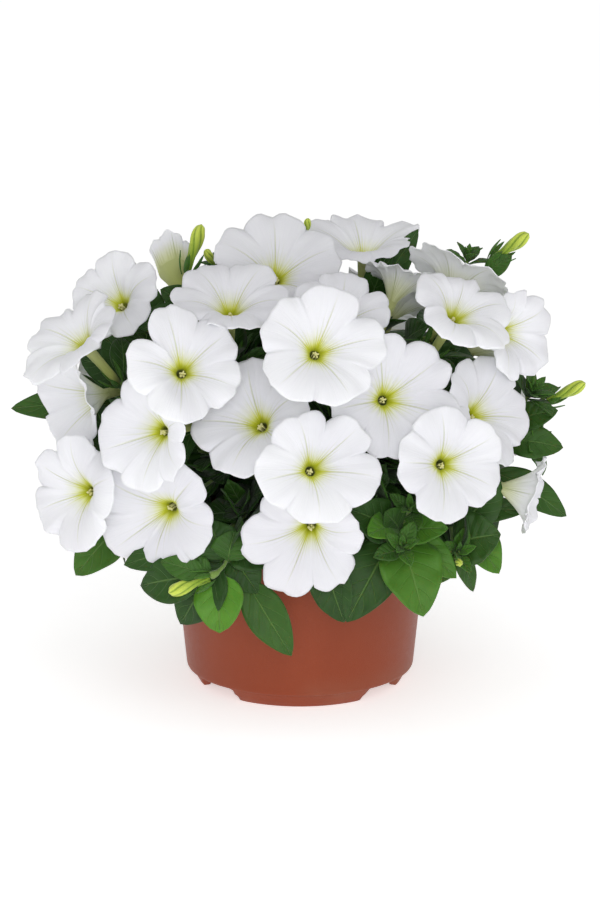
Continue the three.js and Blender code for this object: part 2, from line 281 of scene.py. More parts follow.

# %% [markdown]
# ## The greens
#
# Leaves are dark and dull when old and bright when young, with a pale midrib and a few side
# veins. The old green is darker still, as painted shade for the leaves deep in the plant. A leaf's
# mesh carries `along`, from its foot to its tip, `across`, from 0 on the midrib to 1 at the edge,
# and a number from 0, that darkened old green, to 1, the bright young one. The plant is finely
# hairy all over, which shows as a soft sheen.

# %% Leaf, stem and bud finishes
def leaf_finish():
    finish = Finish(
        "leaf", Roughness=0.5, Specular_IOR_Level=0.28, Sheen_Weight=0.12, Sheen_Roughness=0.5,
        Subsurface_Weight=0.08, Subsurface_Scale=0.002,
    )
    along = finish.attribute("along")
    across = finish.attribute("across")
    mottle = finish.noise(finish.place(), 140.0, 4.0)
    # The dark end is the dull green of old leaves, made darker still as painted shade for the leaves deep in
    # the plant. The bright end is the green of young leaves.
    old = finish.mix(mottle, colour(24, 50, 16), colour(44, 80, 26))
    youth_and_light = finish.mix(mottle, colour(72, 128, 30), colour(98, 152, 46))
    skin = finish.mix(finish.attribute("youth_and_light"), old, youth_and_light)
    midrib = 1 - finish.rise(across, 0.0, 0.07)
    nearest = abs(finish.math("FRACT", along * 6.5 - across * 1.6) - 0.5)
    side_veins = (1 - finish.rise(nearest, 0.0, 0.07)) * (1 - finish.rise(across, 0.5, 0.95))
    veins = finish.math("MAXIMUM", midrib, side_veins * 0.4)
    skin = finish.mix(veins * 0.4, skin, colour(120, 158, 84))
    grain = finish.noise(finish.place(), 1800.0, 2.0)
    relief = finish.bump(grain * 0.25 - veins + nearest * 0.8, 0.0004)
    return finish.feed(Base_Color=skin, Normal=relief)


def stem_finish():
    finish = Finish("stem", Roughness=0.6, Specular_IOR_Level=0.3, Sheen_Weight=0.4)
    mottle = finish.noise(finish.place(), 220.0, 3.0)
    skin = finish.mix(mottle, colour(84, 118, 46), colour(130, 158, 76))
    relief = finish.bump(finish.noise(finish.place(), 2200.0, 2.0), 0.0003)
    return finish.feed(Base_Color=skin, Normal=relief)


def bud_finish():
    finish = Finish("bud", Roughness=0.55, Specular_IOR_Level=0.3, Sheen_Weight=0.3)
    pleat_groove_shade = finish.attribute("beside")
    along = finish.attribute("reach")
    skin = finish.mix(finish.rise(along, 0.1, 0.95), colour(136, 168, 48), colour(200, 216, 84))
    # Darker green in the pleat grooves: painted shade in the folds.
    skin = finish.mix(finish.rise(pleat_groove_shade, 0.35, 1.0) * 0.9, skin, colour(104, 140, 34))
    relief = finish.bump(finish.noise(finish.place(), 1500.0, 2.0), 0.0003)
    return finish.feed(Base_Color=skin, Normal=relief)


def pollen_finish():
    finish = Finish("pollen", Roughness=0.8, Specular_IOR_Level=0.2)
    grain = finish.noise(finish.place(), 3000.0, 2.0)
    skin = finish.mix(grain, colour(206, 200, 128), colour(244, 240, 196))
    return finish.feed(Base_Color=skin, Normal=finish.bump(grain, 0.0002))


LEAF = leaf_finish()
STEM = stem_finish()
BUD = bud_finish()
POLLEN = pollen_finish()


# %% [markdown]
# ## Pot and soil finishes
#
# The pot is injection-moulded plastic in a terracotta colour. It has a satin skin with faint
# flow marks, small scuffs that change only its roughness, and dust from the nursery near the
# foot. The soil is peat with lighter fibres.

# %% Pot and soil finishes
def pot_finish():
    finish = Finish("pot_plastic", Roughness=0.42, Specular_IOR_Level=0.32)
    place = finish.place()
    stretched = finish.node("ShaderNodeMapping", {}, {"Vector": place, "Scale": (1, 1, 0.12)})
    flow = finish.noise(stretched, 60.0, 3.0)
    cloud = finish.noise(place, 25.0, 4.0)
    skin = finish.mix(flow * 0.6 + cloud * 0.4, colour(132, 56, 28), colour(147, 67, 37))
    grain = finish.noise(place, 2600.0, 2.0)
    scuffs = finish.noise(place, 300.0, 6.0)
    height = finish.node("ShaderNodeSeparateXYZ", {}, {"Vector": place}, "Z")
    dust = (1 - finish.rise(height, 0.0, 0.02)) * finish.rise(cloud, 0.4, 0.7) * 0.3
    skin = finish.mix(dust, skin, colour(150, 118, 98))
    dull = 0.36 + scuffs * 0.16 + dust * 0.4
    return finish.feed(Base_Color=skin, Roughness=dull, Normal=finish.bump(grain, 0.00012))


def soil_finish():
    finish = Finish("potting_soil", Roughness=0.95, Specular_IOR_Level=0.15)
    place = finish.place()
    crumbs = finish.noise(place, 260.0, 8.0)
    fibres = finish.rise(finish.noise(place, 700.0, 4.0), 0.62, 0.7)
    skin = finish.mix(crumbs, colour(30, 22, 17), colour(84, 62, 46))
    skin = finish.mix(fibres * 0.6, skin, colour(120, 92, 66))
    return finish.feed(Base_Color=skin, Normal=finish.bump(crumbs + fibres * 0.4, 0.0016))


POT_PLASTIC = pot_finish()
SOIL = soil_finish()
print(len(bpy.data.materials), "materials")


# %% [markdown]
# ## From a bmesh to a piece
#
# Every piece is made in a bmesh and handed over here. A piece lies in the same frame as the
# solids, its object sits at the origin, and it rides on the plant's one body.

# %% Hand over a piece
SAME_PLACE = 1e-6


def add_piece(name, shape, finishes, replaces=None, thickness=0.0):
    mesh = bpy.data.meshes.new(name)
    shape.to_mesh(mesh)
    shape.free()
    for finish in finishes:
        mesh.materials.append(finish)
    mesh.shade_smooth()
    made = bpy.data.objects.new(name, mesh)
    bpy.context.scene.collection.objects.link(made)
    if thickness:
        wall = made.modifiers.new("thickness", "SOLIDIFY")
        wall.thickness = thickness
        wall.offset = -1
        wall.material_offset = len(finishes) - 1
    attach(made, "root")
    if replaces:
        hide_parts(replaces)
    return made


def numbers(shape, *names):
    """The float layers of a bmesh that its materials read."""
    return [shape.verts.layers.float.new(name) for name in names]


def turned(profile, columns, scale=MM):
    """Turns a profile, given as radius and height, once round the axis."""
    shape = bmesh.new()
    verts = [shape.verts.new((0, radius * scale, height * scale)) for radius, height in profile]
    for low, high in zip(verts, verts[1:]):
        shape.edges.new((low, high))
    bmesh.ops.spin(
        shape, geom=verts + shape.edges[:], axis=(0, 0, 1), cent=(0, 0, 0),
        angle=2 * math.pi, steps=columns, use_merge=True,
    )
    bmesh.ops.remove_doubles(shape, verts=shape.verts, dist=SAME_PLACE)
    return shape


def drum(rows, columns):
    """A unit tube, open at both ends: row r of its vertices is at height r."""
    shape = turned([(1, row) for row in range(rows)], columns, scale=1)
    bmesh.ops.recalc_face_normals(shape, faces=shape.faces)
    return shape


# %% [markdown]
# ## The pot
#
# The real pot is one thin shell with a thicker rim. Its profile is turned round the axis with
# Spin. The four feet are what is left of a foot ring between four gaps, so the ring's lower
# edge is lifted wherever a gap is, which keeps the soft moulded corners.

# %% Turn the pot
POT_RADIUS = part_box("pot")[1].x
POT_COLUMNS = 288
FOOT_RING = 51 * MM
FOOT_RING_INSIDE = 47 * MM
FOOT_RING_OUTSIDE = 55.3 * MM
GAP_GROUND = 15 * MM
GAP_TOP = 10.5 * MM
GAP_DIRECTIONS = (52, 128, 232, 308)
FOOT_HEIGHT = 7 * MM
JUST_BELOW = 0.985
POT_PROFILE = (
    (0, 7), (30, 7), (47.4, 7), (48.2, 6.6), (48.1, 3), (48, 0.5), (48.5, 0), (50.6, 0),
    (51.3, 0.5), (52.7, 3), (54.6, 6.3), (54.9, 6.7), (54.4, 7), (55.8, 7), (56.5, 7.3), (56.9, 8),
    (57.1, 9), (57.3, 11), (57.6, 14), (58.4, 22), (61.1, 50), (63.9, 79), (64.2, 82.2),
    (64.6, 82.9), (65.4, 83.3), (65.8, 84), (66, 86.5), (65.9, 89), (65.4, 89.8), (64.6, 90),
    (64, 89.7), (63.6, 88.8), (62.4, 83), (61.9, 79), (59.1, 50), (56, 16), (55, 12),
    (53.4, 9.8), (51, 9), (0, 9),
)


def gap_lift(angle):
    """How far the foot ring's lower edge is lifted at an angle round the pot."""
    degrees = math.degrees(angle) % 360
    from_gap = min(abs(degrees - middle) for middle in GAP_DIRECTIONS)
    sideways = math.sin(math.radians(min(from_gap, 90))) * FOOT_RING
    share = (GAP_GROUND - sideways) / (GAP_GROUND - GAP_TOP)
    return FOOT_HEIGHT * min(max(share, 0), 1)


def turn_pot():
    """The ring stays a hair below the floor in a gap, so that the two never merge."""
    shape = turned(POT_PROFILE, POT_COLUMNS)
    for vert in shape.verts:
        radius = math.hypot(vert.co.x, vert.co.y)
        if FOOT_RING_INSIDE < radius < FOOT_RING_OUTSIDE and vert.co.z < FOOT_HEIGHT:
            lift = gap_lift(math.atan2(vert.co.x, -vert.co.y) + 2 * math.pi)
            vert.co.z = max(vert.co.z, lift * JUST_BELOW)
    bmesh.ops.recalc_face_normals(shape, faces=shape.faces)
    return shape


pot = add_piece("pot_shell", turn_pot(), [POT_PLASTIC], replaces="pot")
print("pot", len(pot.data.vertices), "vertices, radius", round(POT_RADIUS / MM, 1), "mm")

# %% [markdown]
# ## Drain holes
#
# Six round holes go through the pot's floor. A Boolean modifier cuts them, with six short
# cylinders as cutters, and it is applied at once so that the cutters can go.

# %% Cut the drain holes
HOLES = 6
HOLE_RADIUS = 4 * MM
HOLE_RING = 36 * MM
CUT_AT = 8 * MM
CUTTER_LENGTH = 6 * MM


def cut_drain_holes():
    shape = bmesh.new()
    for i in range(HOLES):
        turn = Matrix.Rotation(math.radians(360 / HOLES * i), 4, "Z")
        spot = turn @ Matrix.Translation((0, -HOLE_RING, CUT_AT))
        bmesh.ops.create_cone(
            shape, cap_ends=True, segments=24, radius1=HOLE_RADIUS, radius2=HOLE_RADIUS,
            depth=CUTTER_LENGTH, matrix=spot,
        )
    mesh = bpy.data.meshes.new("cutters")
    shape.to_mesh(mesh)
    shape.free()
    cutters = bpy.data.objects.new("cutters", mesh)
    bpy.context.scene.collection.objects.link(cutters)
    cut = pot.modifiers.new("holes", "BOOLEAN")
    cut.object = cutters
    cut.operation = "DIFFERENCE"
    cut.solver = "EXACT"
    bpy.context.view_layer.update()
    done = bpy.data.meshes.new_from_object(pot.evaluated_get(bpy.context.evaluated_depsgraph_get()))
    pot.modifiers.clear()
    pot.data = done
    bpy.data.objects.remove(cutters)


cut_drain_holes()
print("pot with holes", len(pot.data.vertices), "vertices")


# %% [markdown]
# ## The soil
#
# The soil fills the pot to a finger's width under the rim. It starts as a turned body and is
# roughened with noise, and crumbs of a few faces each lie on it.

# %% Heap the soil
SOIL_COLUMNS = 96
SOIL_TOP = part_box("potting_soil")[1].z
SOIL_PROFILE = [(0, 9.6), (52, 9.6), (54.5, 13), (56, 30), (58, 50), (60.6, 76), (60.4, 79)]
SOIL_PROFILE += [(58, 80), (53, 80.4), (48, 80.6), (43, 80.8)]
SOIL_PROFILE += [(radius, 81) for radius in (38, 33, 28, 23, 18, 13, 8, 0)]
ROUGH_ABOVE = 78 * MM
ROUGHNESS = 1.6 * MM
LUMP_SIZE = 9 * MM
CRUMBS = 260
CRUMBS_REACH = 58 * MM
CRUMBS_LIE_AT = SOIL_TOP - 0.2 * MM


def heap_soil():
    shape = turned(SOIL_PROFILE, SOIL_COLUMNS)
    for vert in shape.verts:
        if vert.co.z > ROUGH_ABOVE:
            vert.co.z += ROUGHNESS * noise.fractal(vert.co / LUMP_SIZE, 1.0, 2.0, 3)
    luck = random.Random(5)
    for _ in range(CRUMBS):
        angle = luck.uniform(0, 2 * math.pi)
        radius = CRUMBS_REACH * math.sqrt(luck.uniform(0.05, 1))
        size = luck.uniform(0.5, 1.7) * MM
        spot = Matrix.Translation((radius * math.cos(angle), radius * math.sin(angle), CRUMBS_LIE_AT))
        squash = Matrix.Diagonal((1, luck.uniform(0.6, 1), luck.uniform(0.5, 0.9), 1))
        turn = Matrix.Rotation(luck.uniform(0, 6), 4, "Z")
        bmesh.ops.create_icosphere(shape, subdivisions=1, radius=size, matrix=spot @ turn @ squash)
    bmesh.ops.recalc_face_normals(shape, faces=shape.faces)
    return shape


soil = add_piece("soil_heap", heap_soil(), [SOIL], replaces="potting_soil")
print("soil", len(soil.data.vertices), "vertices")


# %% [markdown]
# ## Where each flower is
#
# A flower's solid is the same funnel everywhere, turned and moved. Its long axis is the direction
# in which its points spread most, and the end with the widest ring is its face. The throat lies
# a tube's length above the foot.

# %% Read the flowers from the solids
TUBE_MM = 26
TUBE_LENGTH = TUBE_MM * MM


def points_of(node):
    places = {tuple(round(part, 7) for part in vert.co) for vert in frame["nodes"][node].data.vertices}
    return np.array(sorted(places))


def flower_frame(node):
    """The throat, the directions to the right, up and out of the flower, and its radius."""
    points = points_of(node)
    middle = points.mean(0)
    spread, directions = np.linalg.eigh(np.cov((points - middle).T))
    axis = directions[:, int(np.argmax(spread))]
    heights = (points - middle) @ axis
    away = np.linalg.norm(points - middle - np.outer(heights, axis), axis=1)
    if away[heights > heights.max() - MM].max() < away[heights < heights.min() + MM].max():
        axis, heights = -axis, -heights
    axis = Vector(axis)
    throat = Vector(middle) + axis * (float(heights.min()) + TUBE_LENGTH)
    right = UP.cross(axis).normalized()
    up = axis.cross(right)
    return {"throat": throat, "right": right, "up": up, "axis": axis, "radius": float(away.max())}


FLOWERS = {node: flower_frame(node) for node in sorted(frame["nodes"]) if node.startswith("flower_")}
first = FLOWERS["flower_01"]
print(len(FLOWERS), "flowers; the first is", round(2 * first["radius"] / MM), "mm across")

# %% [markdown]
# ## What makes each flower itself
#
# No two flowers are alike: their lobes point in different directions, some are longer, some bend
# forward and some roll back. For the flowers that show, each lobe has its own direction in
# degrees clockwise from the top, its length in millimetres, and how far its tip stands forward.
# `gaps` makes the cut between two lobes deeper than usual, `rise` makes the funnel deeper and
# `throat` makes its tube wider. The rest draw their lobes at random.

# %% Lobes of the flowers that show
CHARACTERS = {
    "flower_01": {"lobes": [(25, 30, 0), (84, 32, 0), (157, 29, 1), (231, 31, 0), (305, 28, 0)]},
    "flower_02": {
        "lobes": [(347, 30, 0), (56, 27, 0), (118, 27, 0), (189, 29, 1), (277, 27, 0)], "gaps": {4: 0.4},
    },
    "flower_03": {"lobes": [(341, 30, 0), (55, 28, 0), (123, 30, 0), (191, 29, 0), (260, 31, 0)]},
    "flower_04": {"lobes": [(345, 25, 2), (53, 29, 0), (104, 31, 0), (182, 27, 0), (257, 30, 0)]},
    "flower_05": {"lobes": [(350, 29, 0), (58, 33, 0), (112, 34, 0), (189, 29, 0), (262, 30, 0)]},
    "flower_06": {"lobes": [(356, 27, 0), (64, 27, 0), (122, 26, 0), (196, 28, 0), (276, 27, 0)]},
    "flower_07": {"lobes": [(78, 26, 0), (148, 28, 1), (203, 33, 1), (262, 32, 0), (335, 27, 0)]},
    "flower_08": {"lobes": [(12, 28, 0), (66, 28, 1), (116, 28, 1), (176, 27, 0), (245, 28, 0)], "rise": 17},
    "flower_09": {"lobes": [(351, 28, 0), (65, 29, 0), (163, 29, 0), (240, 27, 0), (296, 27, 0)]},
    "flower_10": {"lobes": [(44, 32, 0), (94, 29, 0), (190, 28, 0), (232, 36, 0), (300, 33, 0)]},
    "flower_12": {"lobes": [(350, 24, 0), (60, 25, 0), (120, 24, -1), (186, 32, -2), (262, 27, 0)]},
    "flower_13": {"lobes": [(0, 28, 0), (65, 23, 2), (125, 25, 1), (205, 27, 0), (285, 26, -1)], "rise": 22},
    "flower_14": {"lobes": [(38, 27, 0), (98, 28, 0), (178, 25, 1), (262, 28, 0), (322, 27, 0)]},
    "flower_15": {"lobes": [(5, 32, 0), (75, 31, 0), (148, 31, 3), (212, 30, 3), (300, 32, 0)]},
    "flower_16": {"lobes": [(70, 29, 3), (130, 23, -1), (205, 22, -3), (285, 30, 4), (350, 26, -1)]},
    "flower_20": {"lobes": [(32, 18, -3), (95, 28, -2), (152, 28, -4), (225, 25, -3), (334, 24, 0)]},
    "flower_21": {"lobes": [(0, 19, 0), (68, 24, -1), (140, 25, 0), (215, 24, 0), (290, 22, 0)]},
    "flower_23": {"lobes": [(0, 20, 0), (72, 20, 0), (144, 20, 0), (216, 19, 0), (288, 19, 0)], "rise": 18},
    "flower_24": {
        "lobes": [(0, 12, 0), (72, 11, 0), (144, 9, 2), (216, 9, 0), (288, 11, 0)], "rise": 17, "throat": 8,
    },
}
LOBES = 5
LIMB_RISE = 14.0


def character(node, number):
    """The lobes of a flower, sorted clockwise, and the depth of the cut before each of them."""
    luck = random.Random(100 + number)
    radius = FLOWERS[node]["radius"] / MM
    known = CHARACTERS.get(node, {})
    turn = luck.uniform(0, 72)
    lobes = known.get("lobes") or [
        (turn + 72 * i + luck.uniform(-7, 7), radius * luck.uniform(0.92, 1.05), luck.uniform(-2, 2))
        for i in range(LOBES)
    ]
    lobes = sorted((direction % 360, length, lift) for direction, length, lift in lobes)
    cuts = [luck.uniform(0.11, 0.2) for _ in range(LOBES)]
    for i, depth in known.get("gaps", {}).items():
        cuts[i] = depth
    rise = known.get("rise", LIMB_RISE)
    throat = known.get("throat", THROAT_MM)
    phases = [luck.uniform(0, 6.3) for _ in range(6)]
    return {"lobes": lobes, "cuts": cuts, "rise": rise, "throat": throat, "phases": phases}


# %% [markdown]
# ## A corolla
#
# The corolla is one thin skin: a narrow tube that flares into a limb of five joined lobes. It
# starts as a unit tube from Spin, and every vertex is then moved by a formula: its row says how
# far along the flower it lies, and its angle says on which lobe. Columns stand closer together
# where two lobes meet, so that the cut between them is sharp. A Solidify modifier gives the skin
# its thickness, and puts another finish on its back.

# %% Shape the corollas
LOBE_COLUMNS = {"front": 18, "back": 12}
LIMB_ROWS = 20
TUBE_ROWS = ((1.4, -TUBE_MM), (1.7, -20), (1.9, -14), (2.1, -8), (2.3, -4))
PETAL_THICKNESS = 0.35 * MM
LAST_FRONT_FLOWER = 24


def smooth(share):
    return share * share * (3 - 2 * share)


def lobe_at(column, flower):
    """Direction, length, lift, distance from the middle vein and side of a place round the limb."""
    lobes, cuts = flower["lobes"], flower["cuts"]
    i = int(column) % LOBES
    share = column - int(column)
    share = 0.3 * share + 0.7 * (0.5 - 0.5 * math.cos(math.pi * share))
    side = -1 if share < 0.5 else 1
    beside = abs(2 * share - 1)
    here, there = lobes[i], lobes[(i + side) % LOBES]
    way = ((there[0] - here[0]) * side) % 360 * side
    direction = here[0] + way / 2 * beside
    blend = smooth(beside) / 2
    length = here[1] + (there[1] - here[1]) * blend
    lift = here[2] + (there[2] - here[2]) * blend
    cut = cuts[i] if side < 0 else cuts[(i + 1) % LOBES]
    length *= 1 - cut * beside ** 3.4
    angle = math.radians(direction)
    ripple = math.sin(11 * angle + flower["phases"][4]) + math.sin(19 * angle + flower["phases"][5])
    length *= 1 + 0.011 * ripple - 0.025 * math.exp(-((beside / 0.1) ** 2))
    return angle, length, lift, beside, side


def limb_height(reach, angle, lift, beside, side, flower):
    """Height of the limb above the throat, in millimetres."""
    phases = flower["phases"]
    bow = 2.5 if flower["rise"] < 16 else 1.7
    height = -1 + flower["rise"] * (1 - (1 - reach) ** bow) - 1.2 * reach ** 4
    height += lift * reach ** 2
    height -= 1.7 * beside ** 2 * reach ** 2
    height += 0.9 * side * beside ** 4 * reach ** 3
    height -= 0.5 * math.exp(-((beside / 0.14) ** 2)) * math.sin(math.pi * reach)
    wave = 1.1 * math.sin(2 * angle + phases[0]) + 0.8 * math.sin(3 * angle + phases[1])
    folds = 0.35 * math.sin(14 * angle + phases[2] + reach) + 0.25 * math.sin(22 * angle + phases[4])
    frill = 0.7 * math.sin(9 * angle + phases[2]) + 0.55 * math.sin(13 * angle + phases[3])
    return height + wave * reach ** 2 + folds * reach ** 1.5 + frill * reach ** 5


def corolla(node, number):
    place = FLOWERS[node]
    flower = character(node, number)
    columns = LOBE_COLUMNS["front" if number <= LAST_FRONT_FLOWER else "back"]
    rows = len(TUBE_ROWS) + LIMB_ROWS + 1
    shape = drum(rows, LOBES * columns)
    reach_layer, beside_layer, flower_layer = numbers(shape, "reach", "beside", "flower")
    for vert in shape.verts:
        row = round(vert.co.z)
        column = (math.atan2(vert.co.x, vert.co.y) / (2 * math.pi) % 1) * LOBES
        column = round(column * columns) / columns
        angle, length, lift, beside, side = lobe_at(column, flower)
        if row < len(TUBE_ROWS):
            radius, height = TUBE_ROWS[row]
            reach = height / TUBE_MM
            radius *= 1 + (flower["throat"] / THROAT_MM - 1) * (1 + reach)
        else:
            reach = (row - len(TUBE_ROWS)) / LIMB_ROWS
            radius = flower["throat"] + (length - flower["throat"]) * reach
            height = limb_height(reach, angle, lift, beside, side, flower)
        offset = place["right"] * math.sin(angle) * radius + place["up"] * math.cos(angle) * radius
        vert.co = place["throat"] + (offset + place["axis"] * height) * MM
        vert[reach_layer] = reach
        vert[beside_layer] = beside
        vert[flower_layer] = number * 7.0
    shape.normal_update()
    facing = sum(face.normal.dot(place["axis"]) * face.calc_area() for face in shape.faces)
    if facing < 0:
        bmesh.ops.reverse_faces(shape, faces=shape.faces)
    return shape


for number, node in enumerate(FLOWERS, 1):
    add_piece(
        node.replace("flower", "corolla"), corolla(node, number), [PETAL_FACE, PETAL_BACK],
        replaces=node, thickness=PETAL_THICKNESS,
    )

# %% [markdown]
# ## Stamens and stigma
#
# Deep in the throat sit the round green stigma and five pale anthers on thin filaments. They
# are only 2 mm across, but they are what the eye meets in the middle of each flower.

# %% Fill the throats
ANTHERS = 5
STIGMA_SIZE = 0.85
FILAMENT_LENGTH = 9.6
FILAMENT_MIDDLE = 5.2
FILAMENT_FOOT = 0.22
FILAMENT_TOP = 0.2


def stamens(node, number):
    place = FLOWERS[node]
    luck = random.Random(400 + number)
    frame_of_flower = Matrix((place["right"], place["up"], place["axis"])).transposed().to_4x4()
    frame_of_flower.translation = place["throat"]
    shape = bmesh.new()
    lean = Vector((luck.uniform(-0.6, 0.6), luck.uniform(-0.9, 0.1), 0))
    for i in range(ANTHERS + 1):
        angle = 2 * math.pi * i / ANTHERS + luck.uniform(-0.3, 0.3)
        radius = 0 if i == ANTHERS else luck.uniform(0.8, 1.2)
        height = 1.2 if i == ANTHERS else luck.uniform(-0.6, 0.8)
        head = Vector((radius * math.cos(angle), radius * math.sin(angle), height)) + lean
        size = STIGMA_SIZE if i == ANTHERS else luck.uniform(0.6, 0.75)
        spot = Matrix.Translation(head * MM) @ Matrix.Rotation(angle, 4, "Z")
        squash = Matrix.Diagonal((1, 0.7, 1.1, 1))
        bmesh.ops.create_icosphere(
            shape, subdivisions=2, radius=size * MM, matrix=frame_of_flower @ spot @ squash
        )
        stalk = Matrix.Translation((head - Vector((0, 0, FILAMENT_MIDDLE))) * MM)
        bmesh.ops.create_cone(
            shape, cap_ends=True, segments=6, radius1=FILAMENT_FOOT * MM, radius2=FILAMENT_TOP * MM,
            depth=FILAMENT_LENGTH * MM, matrix=frame_of_flower @ stalk,
        )
    return shape


for number, node in enumerate(FLOWERS, 1):
    add_piece(node.replace("flower", "stamens"), stamens(node, number), [POLLEN])
print(len(FLOWERS), "clusters of stamens")

# %% [markdown]
# ## The stems
#
# The stems' solid is right in place and length but has only six sides. A merged copy with a
# Subdivision Surface rounds it off, which also swells the joints softly, as on the real plant.

# %% Round off the stems
def rounded_stems():
    shape = bmesh.new()
    shape.from_mesh(frame["nodes"]["stems"].data)
    bmesh.ops.remove_doubles(shape, verts=shape.verts, dist=SAME_PLACE)
    return shape


stem_shape = rounded_stems()
STEM_TREE = BVHTree.FromBMesh(stem_shape)
stems = add_piece("stems_rounded", stem_shape, [STEM], replaces="stems")
rounding = stems.modifiers.new("rounding", "SUBSURF")
rounding.levels = rounding.render_levels = 1
print("stems", len(stems.data.polygons), "faces before rounding")

# %% [markdown]
# ## Leaves
#
# A petunia leaf is an oval blade with a short stalk, folded a little along its midrib, arched
# down toward its tip, and quilted between its side veins. It starts as a flat grid. The grid's
# long side becomes the way from foot to tip, and its short side the way across.

# %% A leaf blade
LEAF_THICKNESS = 0.45 * MM
BLADE_TIP_MERGE = 2e-5
QUILT_DEPTH = 0.035
QUILT_WAVES = 19


def blade_width(along, roundness, stalk):
    """Half the blade's width as a share, from the end of the stalk to a blunt tip."""
    blade = max(along - stalk, 0) / (1 - stalk)
    body = math.sin(math.pi * blade ** 0.78) ** (0.85 - 0.25 * roundness) if 0 < blade < 1 else 0
    return max(body, 0.08) * (1 if along < 0.999 else 0)


def add_leaf(
    shape, foot, tip, width, upward, youth_and_light=0.3, arch=0.12, fold=0.16, roundness=0.5, stalk=0.1,
    rows=9, columns=6,
):
    """Adds a blade from foot to tip whose upper side looks toward upward."""
    layers = [shape.verts.layers.float.get(name) for name in ("along", "across", "youth_and_light")]
    reach = tip - foot
    length = reach.length
    ahead = reach.normalized()
    side = ahead.cross(upward).normalized()
    above = side.cross(ahead)
    made = bmesh.ops.create_grid(shape, x_segments=columns, y_segments=rows, size=0.5)["verts"]
    for vert in made:
        across = 2 * vert.co.x
        along = vert.co.y + 0.5
        half = blade_width(along, roundness, stalk) * width / 2
        height = arch * length * math.sin(math.pi * along ** 0.9)
        height += fold * half * abs(across) ** 1.5
        quilt = math.sin(along * QUILT_WAVES) * abs(across) ** 2 * math.sin(math.pi * along)
        height += QUILT_DEPTH * width * quilt
        vert.co = foot + ahead * along * length + side * across * half + above * height
        vert[layers[0]] = along
        vert[layers[1]] = abs(across)
        vert[layers[2]] = youth_and_light
    return made


def leaf_sheet():
    shape = bmesh.new()
    numbers(shape, "along", "across", "youth_and_light")
    return shape


def finish_leaves(name, shape, replaces=None):
    bmesh.ops.remove_doubles(shape, verts=shape.verts, dist=BLADE_TIP_MERGE)
    return add_piece(name, shape, [LEAF], replaces=replaces, thickness=LEAF_THICKNESS)


def outward_and_up(place):
    flat = Vector((place.x, place.y, 0))
    return (flat.normalized() + UP * 0.7).normalized()


def square_to(axis):
    """Two directions that are square to an axis and to each other."""
    right = axis.cross(UP if abs(axis.z) < 0.9 else Vector((0, 1, 0))).normalized()
    return right, axis.cross(right)


def nearest_stem(place):
    return STEM_TREE.find_nearest(place)[0]


# %% [markdown]
# ## The large leaves
#
# Each large leaf has a solid, whose two ends are its foot and its tip. The look of the ones that
# show in front is listed: width in millimetres, how bright green it is, from old green darkened as
# painted shade to young green, how round, arched and folded it is, and the way its upper side looks.

# %% Large leaves on their solids
LARGE_LEAVES = {
    "leaf_01": {"width": 30, "youth_and_light": 0.6, "roundness": 0.6, "upward": (0.1, -0.9, 0.5)},
    "leaf_02": {
        "width": 24, "youth_and_light": 0.85, "roundness": 1, "upward": (-0.2, -1, 0.3), "arch": 0.1, "stalk": 0.4,
    },
    "leaf_03": {"width": 20, "youth_and_light": 0.22, "upward": (-0.1, -1, 0.2), "arch": 0.06, "stalk": 0.36},
    "leaf_04": {
        "width": 20, "youth_and_light": 0.05, "roundness": 0.8, "upward": (-0.3, -0.8, 0.5), "arch": 0.14, "fold": 0.3,
    },
    "leaf_05": {"width": 16, "youth_and_light": 0.85, "roundness": 0.9, "upward": (0, -0.9, 0.6), "arch": 0.1},
    "leaf_06": {"width": 22, "youth_and_light": 0.75, "roundness": 0.6, "upward": (0.2, -0.8, 0.7)},
    "leaf_07": {"width": 17, "youth_and_light": 0.2, "roundness": 0.6, "upward": (0.4, -1, 0.4)},
    "leaf_08": {"width": 17, "youth_and_light": 0.2, "roundness": 0.6, "upward": (0, -1, 0.5)},
    "leaf_09": {"width": 11, "youth_and_light": 0.05, "upward": (0, -0.6, 0.9)},
    "leaf_10": {"width": 24, "youth_and_light": 0.4, "roundness": 0.7, "upward": (-0.2, -1, 0.5)},
}


def ends_of(node):
    """The two points of a solid that lie farthest apart, the one nearer to the stems first."""
    points = points_of(node)
    gaps = np.linalg.norm(points[:, None] - points[None], axis=2)
    one, other = np.unravel_index(int(np.argmax(gaps)), gaps.shape)
    ends = [Vector(points[one]), Vector(points[other])]
    return sorted(ends, key=lambda end: (nearest_stem(end) - end).length)


for node in sorted(name for name in frame["nodes"] if name.startswith("leaf_")):
    foot, tip = ends_of(node)
    foot = nearest_stem(foot)
    look = dict(LARGE_LEAVES.get(node, {"width": 22, "youth_and_light": 0.3}))
    width = look.pop("width") * MM
    upward = Vector(look.pop("upward", outward_and_up((foot + tip) / 2))).normalized()
    sheet = leaf_sheet()
    add_leaf(sheet, foot, tip, width, upward, rows=22, columns=12, **look)
    finish_leaves(node.replace("leaf", "blade"), sheet, replaces=node)
print("large leaves done")
